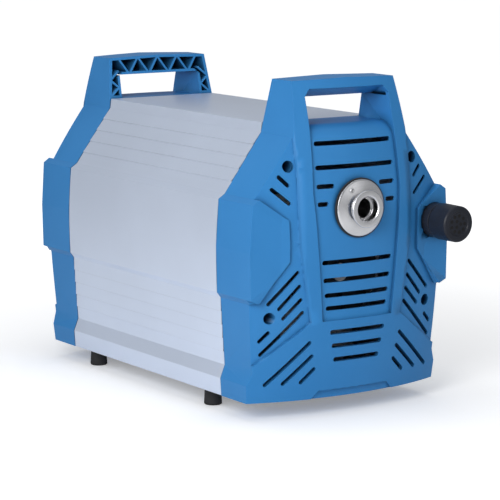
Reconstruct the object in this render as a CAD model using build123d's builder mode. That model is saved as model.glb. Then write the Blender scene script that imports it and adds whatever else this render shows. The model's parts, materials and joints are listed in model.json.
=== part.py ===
"""Diaphragm vacuum pump: two moulded end covers with carrying handles, an aluminium hood,
and inside it a motor that drives two opposed pairs of diaphragm heads.

Frame: +Z up, the inlet side faces -Y, origin on the floor under the middle of the pump.
"""
import os
from math import asin, atan2, cos, degrees, hypot, pi, sin, sqrt

from build123d import *

os.makedirs("parts", exist_ok=True)

# ---------------------------------------------------------------- driving dimensions
# casing section, half widths and heights
foot_height = 20.0
floor_z = foot_height            # underside of the casing
bottom_x = 123.8
flare_x, flare_z = 125.2, 39.6
waist_x, waist_z = 119.5, 53.7
step_in_x, step_in_z = 124.5, 127.6
side_x, side_low_z = 129.2, 133.6
side_bow = 130.3
side_top_x, side_top_z = 127.0, 234.2
shoulder_x, shoulder_z = 119.1, 239.2
neck_x, neck_z = 73.0, 302.0
crown_x, crown_z = 71.7, 312.8   # flat top of the hood and of the covers between the legs
handle_x, handle_z = 66.4, 359.7
handle_arch = 1.8

# casing along the pump
casing_mid = 14.4                # middle of the casing from the origin
hood_length = 321.8
cover_reach = 82.6               # seam to the foremost point of a cover
seam_front = casing_mid - hood_length / 2
seam_rear = casing_mid + hood_length / 2
handle_lean = 12.3               # how far the handle's inner edge leans towards the end

# covers
bulge_r = 350.0                  # curvature of the end faces across the pump
upper_arc_r, upper_arc_z = 507.0, 195.0
lower_arc_r, lower_arc_z = 1178.0, 180.0
relief = 3.5                     # depth of the sunk areas of the end faces
cover_wall = 2.5
crown_fillet = 22.0              # end panel rolling into the flat top
leg_in_x = 54.7
panel_mid_x, panel_mid_z = 57.1, 243.0
panel_low_x, panel_low_z = 45.5, 105.0
rib_out_x, rib_turn_z = 72.8, 225.0
rib_low_x = 58.1
apron_x, apron_z = 118.4, 62.0   # where the raised apron reaches the side
boss_x, boss_top_z, boss_low_z = 85.0, 216.0, 172.0
boss_face_y, boss_lean = -211.5, 6.0
lip_top_x, lip_low_x, lip_depth = 45.7, 54.5, 2.0
bar_front_z, bar_rear_z = 351.0, 340.0
handle_rim = 3.0
truss_web = 2.4
truss_bays, truss_rungs = 8, 3

# ventilation slots of an end face: half length and height of each full-width row
slot_h = 5.0
slot_rows = [(49.9, 294.0), (50.8, 268.8), (45.6, 167.8), (43.8, 148.6), (41.8, 132.2), (40.0, 118.2)]
apron_rows = [(35.8, 92.3), (33.0, 77.3), (30.0, 62.0)]
short_rows = [(29.1, 50.8, 249.0), (37.3, 50.4, 230.3)]
# slanted slots: foot and head of each, right-hand side
slant_w = 4.5
slant_slots = [
    ((83.0, 252.3), (92.0, 261.1)),
    ((82.4, 233.3), (100.1, 248.4)),
    ((73.5, 159.4), (104.3, 127.4)),
    ((71.3, 144.4), (92.8, 121.7)),
    ((69.3, 129.8), (88.1, 111.1)),
    ((67.1, 115.8), (110.7, 72.9)),
    ((103.7, 96.2), (112.4, 87.6)),
    ((59.6, 82.8), (105.9, 40.1)),
    ((56.2, 68.0), (86.8, 40.1)),
    ((52.7, 53.6), (66.8, 40.1)),
]
access_r = 6.3
access_holes = [(81.2, 271.8), (103.1, 112.0)]
post_wall = 2.2
post_short, post_floor = 22.0, 4.0
screw_r = 2.0

# hood and base
hood_wall = 2.5
hood_lip = 34.0                  # inward flange along the bottom
ridge_step = 1.0
base_t = 3.5
base_length = 380.0
frame_t = 3.0
frame_rim = 15.0
seat_gap = 0.3

# feet
foot_r, foot_x = 10.0, 105.0
foot_front_y, foot_rear_y = -100.3, 151.5
foot_screw_r, foot_head_r, foot_head_h = 2.5, 4.5, 3.0

# drive
shaft_z = 150.0
shaft_r = 10.0
motor_length = 130.0
housing_r, housing_wall = 56.0, 5.0
fin_count, fin_h, fin_t = 28, 3.5, 2.5
stator_length, stator_bore = 70.0, 32.0
rotor_gap = 0.5
winding_length, winding_r, winding_bore = 20.0, 47.0, 34.0
shield_t = 2.0
bearing_r, bearing_w = 17.5, 11.0

# pump ends
case_length = 100.0
case_half = 44.0                 # crankcase half width, centre to head face
case_half_z = 54.0
head_y = 60.0                    # shield face to the head's axis, along the pump
head_r = 52.0
bowl_r = 40.0
diaphragm_t = 2.4
head_t = 18.0
head_cover_t = 14.0
eccentricity = 3.5
eccentric_r, eccentric_w = 15.0, 24.0
rod_w = 10.0
rod_ring = 6.0
rod_neck_r = 7.0
clamp_r, clamp_t = 20.0, 5.0
run_gap = 0.05
fit_gap = 0.02

# fans
fan_gap = 4.0
fan_hub_r, fan_r, fan_w = 18.0, 56.0, 16.0
blade_count = 9

rod_offset = 5.5                 # rods of one crank stand side by side
weight_r, weight_t = 30.0, 8.0
pedestal_x, pedestal_w, pedestal_length = 30.0, 26.0, 80.0
pedestal_bolt_x, pedestal_bolt_r = 30.0, 3.0
clamp_pin_r = 4.0
head_floor = 5.0
valve_x, valve_r = 18.0, 6.0

# inlet and outlet
inlet_z = 224.4
seal_seat = 3.2                  # the flat seat behind the foremost point of the cover
port_inner = 20.0
manifold_wall = 3.0
port_throat, port_cone = 2.0, 1.5   # rise behind the flange, and of the cone's root
port_rim, port_edge = 2.5, 3.0      # ledge behind the disc, and its chamfer
disc_r, disc_t = 30.5, 3.0
flange_r, flange_t = 20.0, 3.0
port_bore_r, port_hub_r = 13.0, 15.5
port_reach = 14.9                # flange face in front of the end face
seal_r, seal_t = 32.0, 1.6
silencer_x, silencer_z = 110.0, 201.0
silencer_r, silencer_cap_r = 19.0, 20.0
silencer_neck = 16.0
silencer_length = 45.0
silencer_stem = 24.0
silencer_ring_r, silencer_hole = 9.0, 1.3
silencer_seat = -212.5           # the flat seat on the side boss
board_count = 5                  # boards of the hood's shiplap flanks
foot_well = 9.0
capacitor_x, capacitor_r, capacitor_length = 84.0, 20.0, 90.0
capacitor_back = casing_mid
link_x, cross_z, cross_y = 93.0, 60.0, 22.0
pad_h = 2.0
terminal_w, terminal_h, terminal_t = 60.0, 50.0, 22.0
pipe_r, pipe_wall, bend_r = 8.0, 1.5, 11.2
pipe_bore_r = 5.0                # bore of the hose nozzles
tee_ahead, tee_drop = 30.0, 26.0  # outlet pipe's bend behind the silencer and its slope

# mains entry on the rear cover
entry_w, entry_h, entry_t = 46.0, 66.0, 3.0
entry_body_w, entry_body_h, entry_depth = 36.0, 56.0, 26.0
entry_z = 72.0
socket_w, socket_h, socket_depth = 24.6, 16.6, 17.0
rocker_w, rocker_h = 19.0, 12.6
rocker_z = entry_z + entry_h / 4
entry_seat = 248.6               # the flat seat on the rear face

# ---------------------------------------------------------------- shared helpers


forward = (0, -1, 0)


def face_plane(y):
    """Sketch plane across the pump at y, with +X to the right and +Z up; extrudes towards -Y."""
    return Plane.XZ.offset(-y)


def save(part, name):
    """Label a finished piece and write it."""
    part.label = name
    export_step(part, f"parts/{name}.step")


def bottom_edge():
    """Right half of the casing outline from the middle of the floor up to the shoulder."""
    return [
        (0, floor_z),
        (bottom_x, floor_z),
        (flare_x, flare_z),
        (waist_x, waist_z),
        (step_in_x, step_in_z),
        (side_x, side_low_z),
    ]


def section(plane, top, inset=0.0):
    """Full casing section: top is 'handle' for a cover or 'crown' for the hood."""
    bow_z = (side_low_z + side_top_z) / 2
    with BuildSketch(plane) as sketch:
        with BuildLine():
            Polyline(*bottom_edge())
            Polyline(
                (side_x, side_low_z), (side_bow, bow_z), (side_top_x, side_top_z),
                (shoulder_x, shoulder_z), (neck_x, neck_z),
            )
            if top == "handle":
                Line((neck_x, neck_z), (handle_x, handle_z))
                Line((handle_x, handle_z), (0, handle_z + handle_arch))
                Line((0, handle_z + handle_arch), (0, floor_z))
            else:
                Polyline((neck_x, neck_z), (crown_x, crown_z), (0, crown_z), (0, floor_z))
        make_face()
        mirror(about=Plane.YZ)
        if inset:
            offset(amount=-inset, kind=Kind.INTERSECTION, mode=Mode.REPLACE)
    return sketch.sketch


def arc_sag(radius, rise):
    """Depth that an arc of this radius falls back over a rise from its apex."""
    return radius - sqrt(radius * radius - rise * rise)


def barrel(inset, rolled=False):
    """Solid of revolution whose skin is the front cover's bulged face, moved inwards by inset.

    A rolled one ends at the flat top, with the face rolling into it by the crown's radius.
    """
    reach = bulge_r - inset
    upper_r = upper_arc_r - inset
    lower_r = lower_arc_r - inset
    centre_x = bulge_r - upper_arc_r
    low = -20.0
    low_x = reach - arc_sag(lower_r, lower_arc_z - low)
    mid_x = reach - arc_sag(lower_r, (lower_arc_z - low) / 2)
    if rolled:
        roll_r = crown_fillet + relief - inset
        roll_z = crown_z - crown_fillet
        span = upper_arc_r - relief - crown_fillet
        roll_x = centre_x + sqrt(span**2 - (roll_z - upper_arc_z) ** 2)
        start = asin((roll_z - upper_arc_z) / span)
        turn = (start + pi / 2) / 2
        top = roll_z + roll_r
    else:
        start = asin((handle_z + 20 - upper_arc_z) / upper_r)
        top = handle_z + 20
    end = (centre_x + upper_r * cos(start), upper_arc_z + upper_r * sin(start))
    middle = (centre_x + upper_r * cos(start / 2), upper_arc_z + upper_r * sin(start / 2))
    with BuildPart() as body:
        with BuildSketch(Plane.XZ):
            with BuildLine():
                ThreePointArc((low_x, low), (mid_x, (lower_arc_z + low) / 2), (reach, lower_arc_z))
                Line((reach, lower_arc_z), (reach, upper_arc_z))
                ThreePointArc((reach, upper_arc_z), middle, end)
                if rolled:
                    bend = (roll_x + roll_r * cos(turn), roll_z + roll_r * sin(turn))
                    ThreePointArc(end, bend, (roll_x, top))
                    Line((roll_x, top), (0, top))
                else:
                    Line(end, (0, top))
                Polyline((0, top), (0, low), (low_x, low))
            make_face()
        revolve(axis=Axis.Z)
    return Location((0, barrel_axis(-1), 0)) * body.part


def barrel_axis(facing):
    """Where the vertical axis of an end face's curvature stands along Y."""
    return casing_mid + facing * (hood_length / 2 + cover_reach - bulge_r)


def seam(facing):
    """Y of the seam between the hood and a cover."""
    return casing_mid + facing * hood_length / 2


def apex(facing):
    """Y of the foremost point of a cover."""
    return casing_mid + facing * (hood_length / 2 + cover_reach)


# ---------------------------------------------------------------- end covers
far = 30.0                       # how far a cutting tool stands clear in front of a cover


def sunk_area(points, depth=relief, both=False):
    """Tool that lowers one area of the end face by depth."""
    skin = barrel(depth)
    with BuildPart() as tool:
        with BuildSketch(face_plane(seam_front - 30)):
            with BuildLine():
                Polyline(*points, close=True)
            make_face()
            if both:
                mirror(about=Plane.YZ)
        extrude(amount=cover_reach)
        add(skin, mode=Mode.SUBTRACT)
    return tool.part


outer_edge = side_x + 10
# centre panel and, above it, the handle's window down to the flat top
panel_skin = barrel(relief, rolled=True)
with BuildPart() as centre_panel:
    with BuildSketch(face_plane(seam_front + far)):
        with BuildLine():
            Polyline(
                (0, panel_low_z), (panel_low_x, panel_low_z), (panel_mid_x, panel_mid_z),
                (leg_in_x, crown_z), (leg_in_x, bar_front_z - 8), (leg_in_x - 8, bar_front_z + 2),
                (0, bar_front_z + 2), close=True,
            )
        make_face()
        mirror(about=Plane.YZ)
    extrude(amount=cover_reach + 2 * far)
    with BuildSketch(Plane.YZ):
        with BuildLine():
            Polyline(
                (apex(-1) - far, bar_front_z), (apex(-1) + 28, bar_front_z), (apex(-1) + 58, bar_rear_z),
                (seam_front + far, bar_rear_z), (seam_front + far, handle_z), (apex(-1) - far, handle_z),
                close=True,
            )
        make_face()
    extrude(amount=panel_mid_x + 1, both=True, mode=Mode.SUBTRACT)
    add(panel_skin, mode=Mode.SUBTRACT)
upper_side = sunk_area([
    (rib_out_x, neck_z + 4), (rib_out_x, rib_turn_z), (boss_x - 14, rib_turn_z - 40),
    (boss_x - 1, boss_low_z + 20), (boss_x, boss_top_z), (shoulder_x, shoulder_z - 1),
    (outer_edge, shoulder_z - 1), (outer_edge, neck_z + 4),
], both=True)
lower_side = sunk_area([
    (boss_x - 14, rib_turn_z - 40), (rib_low_x, panel_low_z), (apron_x, apron_z),
    (outer_edge, apron_z - 6), (outer_edge, side_low_z - 5), (shoulder_x - 1, side_low_z - 5),
    (boss_x - 1, boss_low_z), (boss_x - 1, boss_low_z + 20),
], both=True)
bottom_lip = sunk_area([
    (-lip_top_x, 28.2), (lip_top_x, 28.2), (lip_low_x, floor_z - 1), (-lip_low_x, floor_z - 1),
], lip_depth)


# hollow of a cover behind its face
cavity_outline = section(face_plane(seam_front), "crown", cover_wall)
cavity_skin = barrel(relief + cover_wall, rolled=True)
with BuildPart() as cavity:
    extrude(cavity_outline, amount=cover_reach + far, dir=forward)
    add(cavity_skin, mode=Mode.INTERSECT)

# hollow of the handle, open towards the hood, with its zigzag truss left standing
truss_mid_z = (bar_rear_z + handle_z) / 2
truss_half = (handle_z - bar_rear_z) / 2
truss_pitch = 2 * leg_in_x / truss_bays
leg_mid_x = (leg_in_x + neck_x) / 2
handle_skin = barrel(relief + 1.5)
with BuildPart() as pocket:
    with BuildSketch(face_plane(seam_front)):
        with BuildLine():
            Polyline(
                (leg_in_x + handle_rim, crown_z + handle_rim),
                (crown_x - handle_rim - 0.5, crown_z + handle_rim),
                (handle_x - handle_rim - 0.5, handle_z - handle_rim),
                (0, handle_z + handle_arch - handle_rim), (0, bar_rear_z + handle_rim),
                (leg_in_x - 5, bar_rear_z + handle_rim), (leg_in_x + handle_rim, bar_rear_z - 3),
                close=True,
            )
        make_face()
        mirror(about=Plane.YZ)
    extrude(amount=cover_reach)
    add(handle_skin, mode=Mode.INTERSECT)
    # the bar's slanted underside keeps its wall
    with BuildSketch(Plane.YZ):
        with BuildLine():
            Polyline(
                (apex(-1) + 16, bar_front_z + handle_rim), (apex(-1) + 58, bar_rear_z + handle_rim),
                (apex(-1) + 58, bar_rear_z - 4), (apex(-1) + 16, bar_rear_z - 4), close=True,
            )
        make_face()
    extrude(amount=leg_in_x, both=True, mode=Mode.SUBTRACT)
    # truss webs
    with BuildSketch(face_plane(seam_front)):
        for bay in range(truss_bays):
            x = (bay + 0.5 - truss_bays / 2) * truss_pitch
            rise = 1 if bay % 2 else -1
            angle = rise * degrees(atan2(2 * truss_half, truss_pitch))
            with Locations(Location((x, truss_mid_z, 0), (0, 0, 1), angle)):
                Rectangle(hypot(truss_pitch, 2 * truss_half), truss_web)
        for side in (-1, 1):
            for rung in range(truss_rungs):
                z = crown_z + handle_rim + (rung + 0.5) * (bar_rear_z - crown_z) / truss_rungs
                angle = side * (40 if rung % 2 else -40)
                with Locations(Location((side * leg_mid_x * 0.98, z, 0), (0, 0, 1), angle)):
                    Rectangle(neck_x - leg_in_x, truss_web)
    extrude(amount=cover_reach, mode=Mode.SUBTRACT)

# slots through the end face
with BuildPart() as slots:
    with BuildSketch(face_plane(seam_front - 40)):
        for half, z in slot_rows:
            with Locations((0, z)):
                SlotOverall(2 * half, slot_h)
        for start, end, z in short_rows:
            with Locations(((start + end) / 2, z), (-(start + end) / 2, z)):
                SlotOverall(end - start, slot_h)
        for foot, head in slant_slots:
            middle_x, middle_z = (foot[0] + head[0]) / 2, (foot[1] + head[1]) / 2
            length = hypot(head[0] - foot[0], head[1] - foot[1]) + slant_w
            angle = degrees(atan2(head[1] - foot[1], head[0] - foot[0]))
            with Locations(Location((middle_x, middle_z, 0), (0, 0, 1), angle)):
                SlotOverall(length, slant_w)
            with Locations(Location((-middle_x, middle_z, 0), (0, 0, 1), -angle)):
                SlotOverall(length, slant_w)
    extrude(amount=cover_reach)

# six-sided boss on each side of the face, flatter than the face around it
with BuildPart() as side_bosses:
    with BuildSketch(face_plane(apex(-1) + far)):
        with BuildLine():
            Polyline(
                (boss_x, boss_top_z), (boss_x, boss_low_z), (step_in_x - 5, side_low_z - 4),
                (side_x, side_low_z), (side_bow, (side_low_z + side_top_z) / 2),
                (side_top_x, side_top_z), (shoulder_x, shoulder_z), close=True,
            )
        make_face()
        mirror(about=Plane.YZ)
    extrude(amount=far)
    with BuildSketch(Plane.XY.offset(floor_z)):
        with BuildLine():
            Polyline(
                (boss_x - 5, boss_face_y - boss_lean), (side_bow + 5, boss_face_y),
                (side_bow + 5, apex(-1) - 5), (boss_x - 5, apex(-1) - 5), close=True,
            )
        make_face()
        mirror(about=Plane.YZ)
    extrude(amount=handle_z, mode=Mode.SUBTRACT)

cover_outline = section(face_plane(seam_front), "handle")
cover_skin = barrel(0)
with BuildPart() as moulding:
    extrude(cover_outline, amount=cover_reach + far, dir=forward)
    add(cover_skin, mode=Mode.INTERSECT)
    add(cavity.part, mode=Mode.SUBTRACT)
    # screw posts behind the access holes
    with BuildSketch(face_plane(seam_front)):
        for x, z in access_holes:
            with Locations((x, z), (-x, z)):
                Circle(access_r + post_wall)
    extrude(amount=cover_reach - post_short)
    for area in (centre_panel.part, upper_side, lower_side, bottom_lip, pocket.part):
        add(area, mode=Mode.SUBTRACT)
    add(side_bosses.part)
    # leaning inner edge of the handle
    with BuildSketch(Plane.YZ):
        with BuildLine():
            Polyline(
                (seam_front, neck_z + 1), (seam_front - handle_lean, handle_z + 5),
                (seam_front + 5, handle_z + 5), (seam_front + 5, neck_z + 1), close=True,
            )
        make_face()
    extrude(amount=neck_x + 5, both=True, mode=Mode.SUBTRACT)
    add(slots.part, mode=Mode.SUBTRACT)
    # screwdriver wells and screw holes
    with BuildSketch(face_plane(seam_front - post_floor)):
        for x, z in access_holes:
            with Locations((x, z), (-x, z)):
                Circle(access_r)
    extrude(amount=cover_reach + far, mode=Mode.SUBTRACT)
    with BuildSketch(face_plane(seam_front)):
        for x, z in access_holes:
            with Locations((x, z), (-x, z)):
                Circle(screw_r + seat_gap)
    extrude(amount=post_floor, mode=Mode.SUBTRACT)


# ---------------------------------------------------------------- front cover
silencer_hole_r = pipe_r + seat_gap
with BuildPart() as front_cover:
    add(moulding.part)
    with BuildSketch(face_plane(seam_front - 40)):
        with Locations((0, inlet_z)):
            Circle(port_hub_r + seat_gap)
        with Locations((silencer_x, silencer_z)):
            Circle(silencer_hole_r)
        for half, z in apron_rows:
            with Locations((0, z)):
                SlotOverall(2 * half, slot_h)
    extrude(amount=cover_reach, mode=Mode.SUBTRACT)
    # flat seats for the inlet's seal and the silencer
    with BuildSketch(face_plane(apex(-1) + seal_seat)):
        with Locations((0, inlet_z)):
            Circle(seal_r)
    extrude(amount=far, mode=Mode.SUBTRACT)
    with BuildSketch(face_plane(silencer_seat)):
        with Locations((silencer_x, silencer_z)):
            Circle(silencer_r + seat_gap)
    extrude(amount=far, mode=Mode.SUBTRACT)
save(front_cover.part, "front_cover")

# ---------------------------------------------------------------- rear cover
turned = mirror(moulding.part, about=Plane.XZ.offset(-casing_mid))
with BuildPart() as rear_cover:
    add(turned)
    with BuildSketch(face_plane(seam_rear + 40)):
        with Locations((0, entry_z)):
            Rectangle(entry_body_w + 2 * seat_gap, entry_body_h + 2 * seat_gap)
    extrude(amount=-cover_reach, mode=Mode.SUBTRACT)
    with BuildSketch(face_plane(entry_seat)):
        with Locations((0, entry_z)):
            Rectangle(entry_w + 2 * seat_gap, entry_h + 2 * seat_gap)
    extrude(amount=-far, mode=Mode.SUBTRACT)
save(rear_cover.part, "rear_cover")

# ---------------------------------------------------------------- hood


def shiplap(start, end, count):
    """Outline from start to end as count boards, each lapping outwards over the next one down."""
    along = Vector(end[0] - start[0], end[1] - start[1])
    out = along.rotate(Axis.Z, 90).normalized() * ridge_step
    corners = []
    for board in range(count):
        head = Vector(*start) + along * (board / count)
        foot = Vector(*start) + along * ((board + 1) / count)
        corners.append((head.X, head.Y))
        if board < count - 1:
            corners.append((foot.X + out.X, foot.Y + out.Y))
    corners.append(tuple(end))
    return corners


bow_z = (side_low_z + side_top_z) / 2
with BuildSketch(face_plane(seam_front)) as hood_outline:
    with BuildLine():
        upper = shiplap((neck_x, neck_z), (shoulder_x, shoulder_z), board_count)
        lower = shiplap((step_in_x, step_in_z), (waist_x, waist_z), board_count)
        Polyline(
            (0, crown_z), (crown_x, crown_z), *upper, (side_top_x, side_top_z), (side_bow, bow_z),
            (side_x, side_low_z), *lower, (flare_x, flare_z), (bottom_x, floor_z), (0, floor_z),
            close=True,
        )
    make_face()
    mirror(about=Plane.YZ)
hood_inside = section(face_plane(seam_front), "crown", hood_wall)
foot_ys = (foot_front_y, foot_rear_y)
with BuildPart() as hood:
    extrude(hood_outline.sketch, amount=-hood_length, dir=forward)
    extrude(hood_inside, amount=-hood_length, dir=forward, mode=Mode.SUBTRACT)
    with BuildSketch(Plane.XY.offset(floor_z - 1)):
        with Locations((0, casing_mid)):
            Rectangle(2 * (bottom_x - hood_lip), hood_length + 2)
    extrude(amount=hood_wall + 2, mode=Mode.SUBTRACT)
    with BuildSketch(Plane.XY.offset(floor_z - 1)):
        for y in foot_ys:
            with Locations((foot_x, y), (-foot_x, y)):
                Circle(foot_screw_r + seat_gap)
    extrude(amount=hood_wall + 2, mode=Mode.SUBTRACT)
save(hood.part, "hood")

# ---------------------------------------------------------------- base plate, end frames, feet
base_z = floor_z + hood_wall
base_top = base_z + base_t
base_half = waist_x - hood_wall - 1.0
case_ys = [casing_mid + side * (motor_length / 2 + case_length / 2) for side in (-1, 1)]
with BuildPart() as base_plate:
    with BuildSketch(Plane.XY.offset(base_z)):
        with Locations((0, casing_mid)):
            RectangleRounded(2 * base_half, base_length, 8)
        for y in foot_ys:
            with Locations((foot_x, y), (-foot_x, y)):
                Circle(foot_screw_r + seat_gap, mode=Mode.SUBTRACT)
        for y in case_ys:
            with Locations((0, y)):
                with GridLocations(2 * pedestal_bolt_x, pedestal_length - 20, 2, 2):
                    Circle(pedestal_bolt_r + seat_gap, mode=Mode.SUBTRACT)
    extrude(amount=base_t)
save(base_plate.part, "base_plate")

frame_outside = section(face_plane(seam_front), "crown", hood_wall)
frame_inside = section(face_plane(seam_front), "crown", hood_wall + frame_rim)
with BuildPart() as end_frame:
    extrude(frame_outside, amount=-frame_t, dir=forward)
    extrude(frame_inside, amount=-frame_t, dir=forward, mode=Mode.SUBTRACT)
    with BuildSketch(face_plane(seam_front)):
        for x, z in access_holes:
            with Locations((x, z), (-x, z)):
                Circle(access_r + post_wall)
    extrude(amount=-frame_t)
    with BuildSketch(face_plane(seam_front)):
        with Locations((0, base_top)):
            Rectangle(3 * bottom_x, 2 * base_t + 8, align=(Align.CENTER, Align.MAX))
        for x, z in access_holes:
            with Locations((x, z), (-x, z)):
                Circle(screw_r + seat_gap / 2)
        with Locations((silencer_x, silencer_z)):
            Circle(pipe_r + 2)
    extrude(amount=-frame_t, mode=Mode.SUBTRACT)
save(end_frame.part, "front_frame")
rear_frame = mirror(end_frame.part, about=Plane.XZ.offset(-casing_mid))
save(rear_frame, "rear_frame")

with BuildPart() as feet:
    with BuildSketch():
        for y in foot_ys:
            with Locations((foot_x, y), (-foot_x, y)):
                Circle(foot_r)
    extrude(amount=foot_height)
    with BuildSketch():
        for y in foot_ys:
            with Locations((foot_x, y), (-foot_x, y)):
                Circle(foot_head_r + seat_gap)
    extrude(amount=foot_well, mode=Mode.SUBTRACT)
    with BuildSketch():
        for y in foot_ys:
            with Locations((foot_x, y), (-foot_x, y)):
                Circle(foot_screw_r + seat_gap)
    extrude(amount=foot_height, mode=Mode.SUBTRACT)
save(feet.part, "rubber_feet")

with BuildPart() as foot_screws:
    with BuildSketch(Plane.XY.offset(foot_well - foot_head_h)):
        for y in foot_ys:
            with Locations((foot_x, y), (-foot_x, y)):
                Circle(foot_head_r)
    extrude(amount=foot_head_h)
    with BuildSketch(Plane.XY.offset(foot_well)):
        for y in foot_ys:
            with Locations((foot_x, y), (-foot_x, y)):
                Circle(foot_screw_r)
    extrude(amount=base_top + 6 - foot_well)
    # nuts on the base plate
    with BuildSketch(Plane.XY.offset(base_top)):
        for y in foot_ys:
            with Locations((foot_x, y), (-foot_x, y)):
                RegularPolygon(foot_head_r, 6)
    extrude(amount=4)
save(foot_screws.part, "foot_screws")

with BuildPart() as cover_screws:
    for facing in (-1, 1):
        seat = seam(facing) + facing * post_floor
        with BuildSketch(face_plane(seat)):
            for x, z in access_holes:
                with Locations((x, z), (-x, z)):
                    Circle(2 * screw_r)
        extrude(amount=-facing * 3)
        with BuildSketch(face_plane(seat)):
            for x, z in access_holes:
                with Locations((x, z), (-x, z)):
                    Circle(screw_r)
        extrude(amount=facing * (post_floor + frame_t + 4))
save(cover_screws.part, "cover_screws")

# ---------------------------------------------------------------- motor
motor_front = casing_mid - motor_length / 2


def disc(y, radius, length, bore=0.0, x=0.0, z=shaft_z):
    """Round piece along Y from y backwards by length, with a bore if one is given."""
    with BuildPart() as body:
        with BuildSketch(face_plane(y)):
            with Locations((x, z)):
                Circle(radius)
                if bore:
                    Circle(bore, mode=Mode.SUBTRACT)
        extrude(amount=-length)
    return body.part


with BuildPart() as motor_housing:
    with BuildSketch(face_plane(motor_front)):
        with Locations((0, shaft_z)):
            Circle(housing_r)
            with PolarLocations(housing_r + fin_h / 2 - 1, fin_count):
                Rectangle(fin_h + 2, fin_t)
            Circle(housing_r - housing_wall, mode=Mode.SUBTRACT)
    extrude(amount=-motor_length)
save(motor_housing.part, "motor_housing")

stator_r = housing_r - housing_wall - fit_gap
stator_front = casing_mid - stator_length / 2
save(disc(stator_front, stator_r, stator_length, stator_bore), "stator_core")
with BuildPart() as windings:
    for y in (casing_mid - stator_length / 2 - winding_length, casing_mid + stator_length / 2):
        with BuildSketch(face_plane(y)):
            with Locations((0, shaft_z)):
                Circle(winding_r)
                Circle(winding_bore, mode=Mode.SUBTRACT)
        extrude(amount=-winding_length)
    fillet(windings.edges().filter_by(GeomType.CIRCLE), 4)
save(windings.part, "stator_windings")
rotor_r = stator_bore - rotor_gap
save(disc(stator_front, rotor_r, stator_length, shaft_r + fit_gap), "rotor_core")

# ---------------------------------------------------------------- pump ends
shaft_end = head_y + head_r + rod_offset + fan_gap + fan_w + 4
head_ys = [casing_mid + side * (motor_length / 2 + head_y) for side in (-1, 1)]
ends = {"front": -1, "rear": 1}
shaft_half = motor_length / 2 + shaft_end
save(disc(casing_mid - shaft_half, shaft_r, 2 * shaft_half), "main_shaft")


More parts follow.
